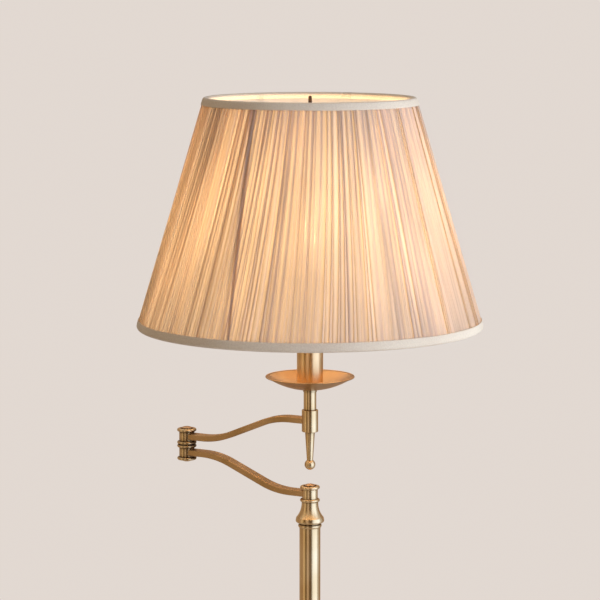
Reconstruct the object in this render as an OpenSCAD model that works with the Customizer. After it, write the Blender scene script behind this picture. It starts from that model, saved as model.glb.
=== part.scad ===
// Swing-arm floor lamp with a gathered fabric shade on a harp.
// Millimetres. The origin is the centre of the base's underside, +Z is up.
// At rest both arms are folded over each other along -X, so that the shade
// stands over the column. The elbow is at x = -arm_reach.

/* [Heights] */
// Height of the shade's top edge above the floor
lamp_h = 1500; // [1350:10:1650]
// Height of the shade
shade_h = 271; // [250:1:290]
// Gap between the shade's bottom edge and the rim of the drip pan
shade_gap = 57.6; // [50:0.2:70]
// Length of the stem between the drip pan and the arm's collar
stem_h = 24; // [20:0.5:40]

/* [Shade] */
// Diameter over the bottom trim
shade_bottom_d = 410; // [380:1:440]
// Diameter over the top trim
shade_top_d = 255; // [235:1:275]
// Number of struts in the wire frame
strut_count = 6; // [6, 9]
// Number of gathered pleats, a few threads of cloth in each
pleat_count = 148; // [90:2:150]
// Depth of the deepest pleat
pleat_depth = 1.7; // [0.8:0.1:1.8]
// Height of the tape that binds each edge
trim_h = 10; // [8:0.5:14]

/* [Arms] */
// Distance between the two vertical axes of an arm
arm_reach = 173; // [165:1:200]
// Height that each arm climbs
arm_rise = 34.2; // [30:0.2:40]
// Width of the arm's rectangular tube
arm_w = 14; // [11:0.5:14]
// Height of the arm's rectangular tube
arm_t = 7.4; // [7:0.2:9]
// Radius of the two bends in an arm, on the middle of the tube
bend_r = 100; // [90:1:110]
// Steepest slope of an arm, in degrees
bend_angle = 22.5; // [20:0.5:26]

/* [Knuckles] */
// Diameter of the turned beads on a knuckle
spool_d = 23.6; // [22:0.2:26]
// Diameter of a knuckle's waist
spool_waist_d = 18.6; // [18:0.2:20]
// Height of a knuckle
spool_h = 19.2; // [18:0.2:22]
// Diameter of the arm's collar that carries the candle tube
collar_d = 19.4; // [18:0.2:22]
// Height of that collar
collar_h = 26.2; // [24:0.2:32]

/* [Head] */
// Diameter of the drip pan
pan_d = 105.5; // [90:0.5:120]
// Depth of the drip pan
pan_depth = 16.5; // [10:0.5:18]
// Outer diameter of the candle tube
candle_d = 31; // [31:0.2:33]
// Length of the candle tube
candle_h = 127; // [115:1:130]
// Diameter of the bulb
bulb_d = 60; // [55:1:62]

/* [Column and base] */
// Outer diameter of the column
tube_d = 25; // [24:0.5:28]
// Wall of the column's tubes
tube_wall = 1.2; // [1:0.1:1.5]
// Diameter of the base
base_d = 280; // [270:5:320]

/* [Hidden] */

$fn = 64;
brass = "#a9824a";
bright_brass = "#c8a664";
dark_bronze = "#5b4027";
steel = "#a8a8a8";
cast_iron = "#4a4a4a";
felt = "#3d4a3c";
black_plastic = "#2c2a28";
cream = "#f4e6c8";
silk = "#e8c79c";
tape = "#b9a793";
glass = "#f6efe0";
glow = "#ffcf7a";

// Threaded tube that joins the metal parts and lets the lead through
nipple_d = 10;
nipple_bore = 7;
// Radial clearance between a pivot tube and the knuckle that turns on it
pivot_gap = 0.05;
lead_hole_d = 5;

// Knuckles: a hollow spool with a floor, a bead round each end and a cap
bead_t = 3.8;
web_t = 4;
cavity_d = 15.6;
washer_t = 0.4;
spring_washer_t = 0.8;
thin_nut_t = 3.2;
thin_nut_af = 12.6;
thread_tail = 0.5;
cap_skirt_h = 2.6;
cap_skirt_wall = 1.5;
cap_inset = 1;
cap_d = 13.2;
cap_edge_h = 0.8;
cap_rise = 2.4;
pivot_stack = spring_washer_t + thin_nut_t + thread_tail;

// Heights, worked out from the shade down to the column
shade_bottom_z = lamp_h - shade_h;
pan_rim_z = shade_bottom_z - shade_gap;
pan_z = pan_rim_z - pan_depth;
collar_top_z = pan_z - stem_h;
collar_z = collar_top_z - collar_h;
collar_mid_z = collar_z + collar_h / 2;
elbow_upper_z = collar_mid_z - arm_rise;
elbow_lower_z = elbow_upper_z - spool_h - washer_t;
head_z = elbow_lower_z - arm_rise;
neck_h = 26;
neck_z = head_z - spool_h / 2 - washer_t - neck_h;
ferrule_h = 6;
tube_top_z = neck_z - ferrule_h;

// Base
base_r = base_d / 2;
felt_t = 3;
cover_t = 1.2;
rim_round = 5;
rim_z = 15.5;
shelf_w = 5;
cove_r = 6;
shelf_z = rim_z + rim_round;
cove_z = shelf_z + cove_r;
cove_x = base_r - rim_round - shelf_w;
dome_edge_r = cove_x - cove_r;
plate_r = 48;
plate_z = 38;
dome_centre_z = (pow(plate_r, 2) + pow(plate_z, 2) - pow(dome_edge_r, 2) - pow(cove_z, 2))
    / (2 * (plate_z - cove_z));
dome_r = sqrt(pow(dome_edge_r, 2) + pow(cove_z - dome_centre_z, 2));
foot_h = 41;
tube_bottom_z = plate_z + foot_h + ferrule_h;
nut_recess_r = 20;
nut_recess_top = 16;
base_nut_af = 17;
base_nut_t = 5;
base_washer_t = 1.5;
base_nipple_z = 8;
base_thread_h = 30;
lead_channel_w = 12;
lead_channel_h = 10;
bush_z = 9.5;
bush_d = 9;
bush_bore = 6.6;
bush_out = 1.6;
bush_in = 5.5;

// Column
tube_r = tube_d / 2;
spigot_r = tube_r - tube_wall;
spigot_h = 25;
passage_r = 8;
joint_h = 12;
joint_z = (tube_bottom_z + tube_top_z - joint_h) / 2;
ferrule_bulge = 1.5;

// Arms
arm_wall = 1.2;
arm_edge_r = 1.2;
bend_rise = bend_r * (1 - cos(bend_angle));
bend_run = bend_r * sin(bend_angle);
slope_len = (arm_rise - 2 * bend_rise) / sin(bend_angle);
stub_len = (arm_reach - 2 * bend_run - slope_len * cos(bend_angle)) / 2;
slope_lap = 0.3;
slope_slim = 0.02;

// Drip pan, a cap of a sphere, and the collar and finial under it
pan_t = 1.2;
pan_sphere_r = (pow(pan_d / 2, 2) + pow(pan_depth, 2)) / (2 * pan_depth);
pan_centre_z = pan_z + pan_sphere_r;
pan_flat_h = 0.35;
pan_lip_d = 1.6;
stem_d = 15;
stem_ring_d = 16.4;
stem_ring_h = 2.5;
collar_floor_t = 4;
finial_stud_d = 6;
finial_top_d = 11.8;
finial_waist_d = 6.6;
finial_ball_d = 12.8;
finial_len = 39.7;

// Candle tube, lampholder and bulb
candle_wall = 0.7;
candle_top_z = pan_z + candle_h;
holder_d = 29.2;
holder_shell_d = 27.4;
holder_shell_wall = 0.4;
holder_base_z = candle_top_z - 40;
holder_floor_z = candle_top_z - 22;
holder_top_z = candle_top_z + 12;
nipple_top_z = holder_base_z + 8;
harp_ring_t = 2;
harp_ring_d = 40;
shade_ring_d = 38;
shade_ring_h = 6;
bulb_cap_d = 26.2;
bulb_cap_z = candle_top_z - 14;
bulb_cap_h = 26;
bulb_shoulder_z = bulb_cap_z + bulb_cap_h;
bulb_wall = 0.8;
bulb_r = bulb_d / 2;
bulb_neck_r = 12.6;
bulb_blend_a = 40;
bulb_blend_r = (bulb_r * cos(bulb_blend_a) - bulb_neck_r) / (1 - cos(bulb_blend_a));
bulb_neck_z = bulb_shoulder_z + 2;
bulb_centre_z = bulb_neck_z + (bulb_r + bulb_blend_r) * sin(bulb_blend_a);
filament_d = 2;
filament_h = 38;
filament_ring_r = 6;
filament_count = 4;

// Shade frame: the centres of the two ring wires and the line between them
ring_wire_d = 4;
strut_d = 3;
trim_t = 0.8;
lining_t = 0.8;
cloth_t = 0.5;
cloth_in = ring_wire_d / 2;
cloth_out = cloth_in + cloth_t + pleat_depth;
trim_fold = ring_wire_d / 2 + trim_t;
shade_lean = atan2((shade_bottom_d - shade_top_d) / 2, shade_h - trim_h);
ring_inset = (cloth_out + trim_t) * cos(shade_lean);
bottom_ring_r = shade_bottom_d / 2 - ring_inset - trim_fold * sin(shade_lean);
top_ring_r = shade_top_d / 2 - ring_inset - (trim_h - trim_fold) * sin(shade_lean);
bottom_ring_z = shade_bottom_z + trim_fold;
top_ring_z = lamp_h - trim_fold;
side_angle = atan2(bottom_ring_r - top_ring_r, top_ring_z - bottom_ring_z);
side_len = norm([bottom_ring_r - top_ring_r, top_ring_z - bottom_ring_z]);
pleat_wander = 0.35;
first_strut_a = 30;

// Harp and spider
harp_wire_d = 2.6;
harp_half_w = 48;
harp_foot_x = 18.4;
harp_tip_x = 4;
spider_z = lamp_h - 27;
spider_drop = 22;
spider_washer_d = 24;
spider_washer_t = 2;
spider_hole_d = 4.6;
spider_arm_d = 3;
spider_arms = 3;
stud_d = 4.2;
saddle_d = 14;
saddle_t = 3.5;
stud_h = 12;
finial_tip_d = 4.3;
finial_top_z = lamp_h + 2;

// ---- Shared shapes ----

// Points along an arc about c, from angle a0 to a1
function arc(c, r, a0, a1, n = 10) =
    [for (i = [0:n]) let (a = a0 + (a1 - a0) * i / n) [c[0] + r * cos(a), c[1] + r * sin(a)]];

// Flat ring between two heights
module ring(od, id, h) {
    difference() {
        cylinder(d = od, h = h);
        translate([0, 0, -1]) cylinder(d = id, h = h + 2);
    }
}

// Hexagonal nut on the nipple's thread, across flats af
module hex_nut(af, h) {
    difference() {
        cylinder(d = af / cos(30), h = h, $fn = 6);
        translate([0, 0, -1]) cylinder(d = nipple_d, h = h + 2);
    }
}

// Rounded bead round the z axis, centred on its height
module bead(d, t) {
    rotate_extrude() {
        translate([0, -t / 2]) square([d / 2 - t / 2, t]);
        translate([d / 2 - t / 2, 0]) circle(d = t);
    }
}

// Column ferrule with a rounded shoulder
module ferrule() {
    round_r = 2.6;
    shoulder_r = tube_r + ferrule_bulge - round_r;
    color(brass)
        rotate_extrude()
            polygon(concat(
                [[spigot_r, 0], [tube_r + 0.1, 0]],
                arc([shoulder_r, ferrule_h * 0.6], round_r, -60, 65),
                [[spigot_r, ferrule_h]]));
}

// Column tube between two heights
module column_tube(z0, z1) {
    color(brass) translate([0, 0, z0]) ring(tube_d, 2 * spigot_r, z1 - z0);
}

// Knuckle about its middle: its floor is at the bottom, its cap opening on top,
// and the lead leaves through a hole in the waist towards +X
module spool(bore_d) {
    color(brass)
        difference() {
            union() {
                cylinder(d = spool_waist_d, h = spool_h, center = true);
                for (side = [-1, 1])
                    translate([0, 0, side * (spool_h - bead_t) / 2]) bead(spool_d, bead_t);
            }
            translate([0, 0, web_t - spool_h / 2]) cylinder(d = cavity_d, h = spool_h);
            translate([0, 0, -spool_h]) cylinder(d = bore_d, h = spool_h);
            rotate([0, 90, 0]) cylinder(d = lead_hole_d, h = spool_d);
        }
}

// Screwed cap of a knuckle: z = 0 is the knuckle's end face
module spool_cap() {
    dome_r_xy = cap_d / 2;
    dome_rise = cap_rise - cap_edge_h;
    dome_sphere_r = (pow(dome_r_xy, 2) + pow(dome_rise, 2)) / (2 * dome_rise);
    dome_a = asin(dome_r_xy / dome_sphere_r);
    skirt_z = -cap_inset - cap_skirt_h;
    color(bright_brass)
        rotate_extrude()
            polygon(concat(
                [[0, -cap_inset - 0.8], [cavity_d / 2 - cap_skirt_wall, -cap_inset - 0.8],
                 [cavity_d / 2 - cap_skirt_wall, skirt_z], [cavity_d / 2, skirt_z],
                 [cavity_d / 2, -cap_inset], [dome_r_xy, -cap_inset]],
                arc([0, cap_rise - dome_sphere_r], dome_sphere_r, 90 - dome_a, 90, 8)));
}

// Hollow pivot tube, z = 0 at its lower end
module pivot_tube(h) {
    color(steel) ring(nipple_d, nipple_bore, h);
}

// Cross-section of an arm's tube: w by h, with rounded edges of radius r
module bar_section(w, h, r) {
    polygon([for (q = [0:3]) each arc(
        [(q == 0 || q == 3 ? 1 : -1) * (w / 2 - r), (q < 2 ? 1 : -1) * (h / 2 - r)],
        r, 90 * q, 90 * q + 90, 4)]);
}

// Upper end of a bar's S-shaped run: the bend after the slope and the level stub.
// The origin is the middle of the slope.
module swan_end(w, h, r) {
    bend_x = slope_len / 2 * cos(bend_angle) + bend_run;
    translate([bend_x, 0, arm_rise / 2 - bend_r])
        rotate([90, 0, 0]) rotate([0, 0, 90])
            rotate_extrude(angle = bend_angle, $fn = 96)
                translate([bend_r, 0]) bar_section(h, w, r);
    translate([arm_reach / 2 - stub_len, 0, arm_rise / 2])
        rotate([90, 0, 90]) linear_extrude(stub_len) bar_section(w, h, r);
}

// The whole run, from the axis at x = 0 up to the axis at arm_reach. The slope is a
// hair slimmer than the bends and laps into them.
module swan_bar(w, h, r) {
    translate([arm_reach / 2, 0, arm_rise / 2]) {
        rotate([0, -bend_angle, 0]) rotate([90, 0, 90])
            linear_extrude(slope_len + 2 * slope_lap, center = true)
                bar_section(w - slope_slim, h - slope_slim, r);
        for (turn = [0, 180])
            rotate([0, turn, 0]) swan_end(w, h, r);
    }
}

// Hollow arm, coped at both ends to the round parts that it is brazed to
module swing_arm(start_d, end_d) {
    color(brass)
        difference() {
            swan_bar(arm_w, arm_t, arm_edge_r);
            swan_bar(arm_w - 2 * arm_wall, arm_t - 2 * arm_wall, arm_edge_r / 2);
            cylinder(d = start_d, h = 4 * arm_t, center = true);
            translate([arm_reach, 0, arm_rise]) cylinder(d = end_d, h = 4 * arm_t, center = true);
        }
}

// Places a flat profile on the shade's side: x is outwards, y runs up the side
module along_side() {
    translate([bottom_ring_r, bottom_ring_z]) rotate(side_angle) children();
}

// Copies children at each strut of the shade
module at_struts(step = 1) {
    for (i = [0:step:strut_count - 1])
        rotate([0, 0, first_strut_a + i * 360 / strut_count]) children();
}

// Tube swept along points, square to the path in the vertical plane through x
module wire(points, d, sides = 10) {
    last = len(points) - 1;
    rings = [for (i = [0:last])
        let (
            a = points[max(i - 1, 0)],
            b = points[min(i + 1, last)],
            along = (b - a) / norm(b - a),
            side = [along[2], 0, -along[0]]
        )
        [for (k = [0:sides - 1])
            points[i] + d / 2 * (cos(360 * k / sides) * side + sin(360 * k / sides) * [0, 1, 0])]];
    faces = concat(
        [[for (k = [0:sides - 1]) k]],
        [for (i = [0:last - 1], k = [0:sides - 1])
            let (n = (k + 1) % sides, lo = i * sides, hi = lo + sides)
            each [[lo + k, hi + k, hi + n], [lo + k, hi + n, lo + n]]],
        [[for (k = [sides - 1:-1:0]) last * sides + k]]);
    polyhedron([for (r = rings) each r], faces);
}

// ---- Base ----

// Outline of the cover's outer face (t = 0) or inner face (t = cover_t),
// from the bottom of the rim to the plate under the foot
function cover_outline(t) = concat(
    [[base_r - t, felt_t - (t > 0 ? 1 : 0)]],
    arc([base_r - rim_round, rim_z], rim_round - t, 0, 90),
    arc([cove_x, cove_z], cove_r + t, 270, t > 0 ? 188 : 180),
    [for (i = [1:12]) let (r = dome_edge_r - 1 + (plate_r - dome_edge_r + 1) * i / 12)
        [r, dome_centre_z + sqrt(pow(dome_r - t, 2) - r * r)]],
    [[0, plate_z - t], [0, felt_t - (t > 0 ? 1 : 0)]]);

module base_felt() {
    color(felt) cylinder(r = base_r - 4, h = felt_t);
}

module base_weight() {
    rim_r = base_r - rim_round - 1;
    color(cast_iron)
        difference() {
            rotate_extrude()
                polygon([
                    [nut_recess_r, felt_t], [rim_r, felt_t], [rim_r, shelf_z - cover_t],
                    [dome_edge_r - 4, shelf_z - cover_t], [dome_edge_r - 4, cove_z - 2],
                    [dome_edge_r - 40, cove_z - 2], [dome_edge_r - 40, plate_z - 10],
                    [30, plate_z - 10], [30, plate_z - cover_t],
                    [nipple_d / 2 + 1, plate_z - cover_t], [nipple_d / 2 + 1, nut_recess_top],
                    [nut_recess_r, nut_recess_top],
                ]);
            translate([-lead_channel_w / 2, nut_recess_r / 2, felt_t - 1])
                cube([lead_channel_w, base_r, lead_channel_h + 1]);
        }
}

module base_cover() {
    color(brass)
        difference() {
            rotate_extrude() polygon(cover_outline(0));
            rotate_extrude() polygon(cover_outline(cover_t));
            cylinder(d = nipple_d, h = 2 * plate_z);
            translate([0, base_r / 2, bush_z])
                rotate([-90, 0, 0]) cylinder(d = bush_d, h = base_r);
        }
}

module base_nipple() {
    color(steel)
        translate([0, 0, base_nipple_z])
            ring(nipple_d, nipple_bore, plate_z + base_thread_h - base_nipple_z);
}

module base_washer() {
    color(steel)
        translate([0, 0, nut_recess_top - base_washer_t]) ring(30, nipple_d, base_washer_t);
}

module base_nut() {
    color(steel)
        translate([0, 0, nut_recess_top - base_washer_t - base_nut_t])
            hex_nut(base_nut_af, base_nut_t);
}

// Plain bush that lines the hole for the mains lead in the back of the rim
module cable_bush() {
    out_y = base_r + bush_out;
    in_y = base_r - bush_in;
    color(black_plastic)
        difference() {
            union() {
                translate([0, in_y, bush_z])
                    rotate([-90, 0, 0]) cylinder(d = bush_d, h = out_y - in_y);
                difference() {
                    translate([0, base_r - 2, bush_z])
                        rotate([-90, 0, 0]) cylinder(d = bush_d + 4, h = bush_out + 2);
                    cylinder(r = base_r, h = 2 * bush_z, $fn = 128);
                }
                intersection() {
                    translate([0, base_r - 3.2, bush_z])
                        rotate([-90, 0, 0]) cylinder(d = bush_d + 2, h = 3);
                    cylinder(r = base_r - cover_t, h = 2 * bush_z, $fn = 128);
                }
            }
            translate([0, in_y - 1, bush_z])
                rotate([-90, 0, 0]) cylinder(d = bush_bore, h = out_y - in_y + 2);
        }
}

// ---- Column ----

// Turned foot: a bead on the plate, a hollow sweep up to the column, a spigot
module column_foot() {
    bead_r = 2;
    foot_r = plate_r - 8;
    top_r = tube_r + 1.7;
    sweep_top = foot_h - 2;
    sweep_r = foot_r - 5 - top_r;
    sweep_z = sweep_top - 5;
    sweep_a = 2 * atan(sweep_r / sweep_z);
    sweep_arc_r = sweep_z / sin(sweep_a);
    color(brass)
        translate([0, 0, plate_z])
            rotate_extrude()
                polygon(concat(
                    [[nipple_d / 2, 0], [foot_r, 0]],
                    arc([foot_r, bead_r], bead_r, -90, 90),
                    [[foot_r - 3, 2 * bead_r]],
                    arc([top_r + sweep_arc_r, sweep_top], sweep_arc_r, 180 + sweep_a, 180, 14),
                    [[top_r, foot_h], [spigot_r, foot_h], [spigot_r, foot_h + ferrule_h + spigot_h],
                     [passage_r, foot_h + ferrule_h + spigot_h], [passage_r, base_thread_h],
                     [nipple_d / 2, base_thread_h]]));
}

module lower_ferrule() {
    translate([0, 0, tube_bottom_z]) mirror([0, 0, 1]) ferrule();
}

module lower_tube() {
    column_tube(tube_bottom_z, joint_z);
}

// Turned coupling with a spigot in each tube
module column_joint() {
    bulge_r = 3.2;
    color(brass)
        translate([0, 0, joint_z])
            rotate_extrude()
                polygon(concat(
                    [[passage_r, -spigot_h], [spigot_r, -spigot_h], [spigot_r, 0],
                     [tube_r + 0.3, 0]],
                    arc([tube_r - 0.4, joint_h / 2], bulge_r, -70, 70),
                    [[tube_r + 0.3, joint_h], [spigot_r, joint_h], [spigot_r, joint_h + spigot_h],
                     [passage_r, joint_h + spigot_h]]));
}

module upper_tube() {
    column_tube(joint_z + joint_h, tube_top_z);
}

module upper_ferrule() {
    translate([0, 0, tube_top_z]) ferrule();
}

// Bell-shaped neck: undercut, rounded edge, hollow sweep up to the head knuckle
module neck() {
    edge_r = 2.7;
    edge_centre = [14.3, 3.9];
    top_r = 9.9;
    sweep_r = 26;
    sweep_top = neck_h - 1.4;
    thread_z = neck_h - 16;
    color(brass)
        translate([0, 0, neck_z])
            rotate_extrude()
                polygon(concat(
                    [[passage_r, -ferrule_h - spigot_h], [spigot_r, -ferrule_h - spigot_h],
                     [spigot_r, 0], [tube_r + 0.1, 0], [tube_r + 0.1, 1.3]],
                    arc(edge_centre, edge_r, -75, 12),
                    arc([top_r + sweep_r, sweep_top], sweep_r, 221.4, 180, 14),
                    [[top_r, neck_h], [nipple_d / 2, neck_h], [nipple_d / 2, thread_z],
                     [nipple_bore / 2, thread_z], [nipple_bore / 2, 6], [passage_r, 0]]));
}

module head_nipple() {
    translate([0, 0, neck_z + neck_h - 16])
        pivot_tube(16 + washer_t + web_t + pivot_stack);
}

// Friction washer under the head knuckle and spring washer on its floor
module head_washers() {
    floor_z = head_z - spool_h / 2;
    color(steel) {
        translate([0, 0, floor_z - washer_t])
            ring(spool_waist_d, nipple_d, washer_t);
        translate([0, 0, floor_z + web_t]) ring(14, nipple_d, spring_washer_t);
    }
}

module head_nut() {
    color(steel)
        translate([0, 0, head_z - spool_h / 2 + web_t + spring_washer_t])
            hex_nut(thin_nut_af, thin_nut_t);
}

// ---- Lower arm ----

module head_spool() {
    translate([0, 0, head_z]) rotate([0, 0, 180]) spool(nipple_d + 2 * pivot_gap);
}

module head_cap() {
    translate([0, 0, head_z + spool_h / 2]) spool_cap();
}

module lower_arm() {
    translate([0, 0, head_z]) rotate([0, 0, 180]) swing_arm(spool_waist_d, spool_waist_d);
}

module elbow_lower_spool() {
    translate([-arm_reach, 0, elbow_lower_z]) rotate([180, 0, 0]) spool(nipple_d);
}

module elbow_lower_cap() {
    translate([-arm_reach, 0, elbow_lower_z - spool_h / 2]) rotate([180, 0, 0]) spool_cap();
}

module elbow_nipple() {
    length = 2 * (web_t + pivot_stack) + washer_t;
    translate([-arm_reach, 0, elbow_lower_z + spool_h / 2 + washer_t / 2 - length / 2])
        pivot_tube(length);
}

// Friction washer between the two elbow knuckles, spring washer on the upper floor
// and plain washer on the lower one
module elbow_washers() {
    joint = elbow_lower_z + spool_h / 2;
    color(steel)
        translate([-arm_reach, 0, joint]) {
            ring(spool_waist_d, nipple_d, washer_t);
            translate([0, 0, washer_t + web_t]) ring(14, nipple_d, spring_washer_t);
            translate([0, 0, -web_t - spring_washer_t]) ring(14, nipple_d, spring_washer_t);
        }
}

module elbow_nuts() {
    joint = elbow_lower_z + spool_h / 2;
    color(steel)
        translate([-arm_reach, 0, joint]) {
            translate([0, 0, washer_t + web_t + spring_washer_t])
                hex_nut(thin_nut_af, thin_nut_t);
            translate([0, 0, -web_t - spring_washer_t - thin_nut_t])
                hex_nut(thin_nut_af, thin_nut_t);
        }
}

// ---- Upper arm and head ----

module elbow_upper_spool() {
    translate([-arm_reach, 0, elbow_upper_z]) spool(nipple_d + 2 * pivot_gap);
}

module elbow_upper_cap() {
    translate([-arm_reach, 0, elbow_upper_z + spool_h / 2]) spool_cap();
}

module upper_arm() {
    translate([-arm_reach, 0, elbow_upper_z]) swing_arm(spool_waist_d, collar_d);
}

// Collar with a threaded socket for the nipple and a hole for the finial's stud
module arm_collar() {
    edge = 0.4;
    color(brass)
        difference() {
            translate([0, 0, collar_z])
                rotate_extrude()
                    polygon([
                        [finial_stud_d / 2, 0], [collar_d / 2 - edge, 0], [collar_d / 2, edge],
                        [collar_d / 2, collar_h - edge], [collar_d / 2 - edge, collar_h],
                        [nipple_d / 2, collar_h], [nipple_d / 2, collar_floor_t],
                        [finial_stud_d / 2, collar_floor_t],
                    ]);
            translate([0, 0, collar_mid_z]) rotate([0, -90, 0]) cylinder(d = lead_hole_d, h = collar_d);
        }
}

// Tapered drop with a ball, on a stud that screws into the collar
module drop_finial() {
    color(brass)
        translate([0, 0, collar_z]) {
            cylinder(d = finial_stud_d, h = collar_floor_t);
            translate([0, 0, -finial_len])
                cylinder(d1 = finial_waist_d, d2 = finial_top_d, h = finial_len);
            translate([0, 0, -finial_len]) sphere(d = finial_ball_d);
        }
}

// Threaded tube from the collar up to the lampholder, with a window for the lead
module lamp_nipple() {
    bottom = collar_z + collar_floor_t;
    color(steel)
        difference() {
            translate([0, 0, bottom]) ring(nipple_d, nipple_bore, nipple_top_z - bottom);
            translate([0, 0, collar_mid_z]) rotate([0, -90, 0]) cylinder(d = lead_hole_d, h = collar_d);
        }
}

module stem() {
    color(brass)
        difference() {
            union() {
                translate([0, 0, collar_top_z]) cylinder(d = stem_d, h = stem_h);
                translate([0, 0, pan_z - stem_ring_h + pan_flat_h])
                    cylinder(d = stem_ring_d, h = stem_ring_h);
            }
            translate([0, 0, collar_top_z - 1]) cylinder(d = nipple_d, h = stem_h + 2);
        }
}

// Spherical dish with a rolled lip and a flat seat for the stem
module drip_pan() {
    lip_r = pan_d / 2 - pan_lip_d / 2;
    color(brass) {
        difference() {
            intersection() {
                translate([0, 0, pan_centre_z]) sphere(r = pan_sphere_r, $fn = 128);
                translate([0, 0, pan_z + pan_flat_h])
                    cylinder(d = 2 * pan_d, h = pan_depth - pan_flat_h - pan_lip_d / 2);
            }
            translate([0, 0, pan_centre_z]) sphere(r = pan_sphere_r - pan_t, $fn = 128);
            translate([0, 0, pan_z - 1]) cylinder(d = nipple_d, h = 2 * pan_depth);
        }
        translate([0, 0, pan_rim_z - pan_lip_d / 2])
            rotate_extrude() translate([lip_r, 0]) circle(d = pan_lip_d);
    }
}

// Nut and its washer inside the candle tube, which clamp the pan on the stem
module pan_nut() {
    washer_od = 20;
    seat = pan_centre_z - sqrt(pow(pan_sphere_r - pan_t, 2) - pow(washer_od / 2, 2));
    color(steel) {
        translate([0, 0, seat]) ring(washer_od, nipple_d, 1);
        translate([0, 0, seat + 1]) hex_nut(14, 4);
    }
}

module candle_tube() {
    color(brass)
        intersection() {
            translate([0, 0, pan_z]) ring(candle_d, candle_d - 2 * candle_wall, candle_h);
            translate([0, 0, pan_centre_z]) sphere(r = pan_sphere_r - pan_t, $fn = 128);
        }
}

// Lower half of the lampholder, screwed to the nipple
module holder_base() {
    color(black_plastic)
        translate([0, 0, holder_base_z])
            rotate_extrude()
                polygon([
                    [nipple_d / 2, 0], [10, 0], [holder_d / 2, 6],
                    [holder_d / 2, holder_floor_z - holder_base_z],
                    [nipple_bore / 2, holder_floor_z - holder_base_z],
                    [nipple_bore / 2, nipple_top_z - holder_base_z],
                    [nipple_d / 2, nipple_top_z - holder_base_z],
                ]);
}

// Skirt of the lampholder: it stands out of the candle tube and takes the shade ring
module holder_skirt() {
    color(black_plastic)
        translate([0, 0, holder_floor_z]) ring(holder_d, holder_shell_d, holder_top_z - holder_floor_z);
}

module holder_shell() {
    color(bright_brass)
        translate([0, 0, holder_floor_z + 2])
            ring(holder_shell_d, holder_shell_d - 2 * holder_shell_wall, holder_top_z - holder_floor_z - 3);
}

// Sprung centre contact of the lampholder, on the holder's floor
module holder_contact() {
    tongue_h = bulb_cap_z - holder_floor_z;
    color(bright_brass)
        translate([0, 0, holder_floor_z])
            rotate_extrude()
                polygon([[0, 0], [5, 0], [5, 1], [2, tongue_h - 1], [2, tongue_h], [0, tongue_h]]);
}

module shade_ring() {
    grip = 1;
    color(black_plastic)
        translate([0, 0, candle_top_z + harp_ring_t])
            difference() {
                cylinder(d = shade_ring_d, h = shade_ring_h);
                translate([0, 0, -1]) cylinder(d = holder_d, h = shade_ring_h + 2);
                for (i = [0:23])
                    rotate([0, 0, 15 * i])
                        translate([shade_ring_d / 2 + grip / 4, 0, -1])
                            cylinder(d = grip, h = shade_ring_h + 2, $fn = 16);
            }
}

// ---- Bulb ----

// Half outline of the bulb's glass, from the neck to the crown
function bulb_outline(t) = concat(
    [[bulb_neck_r - t, bulb_shoulder_z - 6]],
    arc([bulb_neck_r + bulb_blend_r, bulb_neck_z], bulb_blend_r + t, 180, 180 - bulb_blend_a, 12),
    arc([0, bulb_centre_z], bulb_r - t, -bulb_blend_a + 4, 90, 20));

module bulb_cap() {
    color(bright_brass)
        translate([0, 0, bulb_cap_z])
            rotate_extrude()
                polygon([
                    [0, 0], [4.5, 0], [5, 1], [5, 1.6], [11, 5], [bulb_cap_d / 2, 6.5],
                    [bulb_cap_d / 2, bulb_cap_h], [bulb_neck_r, bulb_cap_h],
                    [bulb_neck_r, bulb_cap_h - 6], [bulb_neck_r - 1, bulb_cap_h - 8], [0, bulb_cap_h - 8],
                ]);
}

module bulb_glass() {
    inner = bulb_outline(bulb_wall);
    color(glass, 0.4)
        rotate_extrude()
            polygon(concat(bulb_outline(0), [for (i = [len(inner) - 1:-1:0]) inner[i]]));
}

// Glass stem that carries the filaments, standing on the cap's cement
module bulb_mount() {
    foot_z = bulb_shoulder_z - 8;
    rod_top = bulb_centre_z - filament_h / 2 + 2;
    color(glass)
        translate([0, 0, foot_z])
            rotate_extrude()
                polygon([
                    [0, 0], [9, 0], [9, 1], [4, 8], [3, 14], [2, rod_top - foot_z],
                    [filament_ring_r + filament_d, rod_top - foot_z],
                    [filament_ring_r + filament_d, rod_top - foot_z + 1],
                    [0, rod_top - foot_z + 1],
                ]);
}

module bulb_filaments() {
    color(glow)
        for (i = [0:filament_count - 1])
            rotate([0, 0, 45 + 360 * i / filament_count])
                translate([filament_ring_r, 0, bulb_centre_z - filament_h / 2 + 3])
                    cylinder(d = filament_d, h = filament_h, $fn = 24);
}

// ---- Shade carrier ----

// Harp: a ring clamped on the lampholder and two wires that bow round the bulb
harp_foot_z = candle_top_z + harp_ring_t / 2;
harp_tip_z = spider_z - saddle_t / 2;
harp_foot_a = asin(harp_foot_x / harp_half_w);
harp_tip_a = 180 - asin(harp_tip_x / harp_half_w);
harp_half_h = (harp_tip_z - harp_foot_z) / (cos(harp_foot_a) - cos(harp_tip_a));
harp_mid_z = harp_foot_z + harp_half_h * cos(harp_foot_a);
harp_steps = 22;

module harp() {
    bow = [for (i = [0:harp_steps])
        let (a = harp_foot_a + (harp_tip_a - harp_foot_a) * i / harp_steps)
        [harp_half_w * sin(a), 0, harp_mid_z - harp_half_h * cos(a)]];
    color(bright_brass) {
        translate([0, 0, candle_top_z]) ring(harp_ring_d, holder_d, harp_ring_t);
        for (turn = [0, 180])
            rotate([0, 0, turn]) wire(bow, harp_wire_d);
    }
}

// Saddle that joins the two wires, with the stud for the shade
module harp_stud() {
    color(bright_brass)
        translate([0, 0, spider_z - saddle_t]) {
            cylinder(d = saddle_d, h = saddle_t);
            cylinder(d = stud_d, h = saddle_t + stud_h);
        }
}

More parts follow.
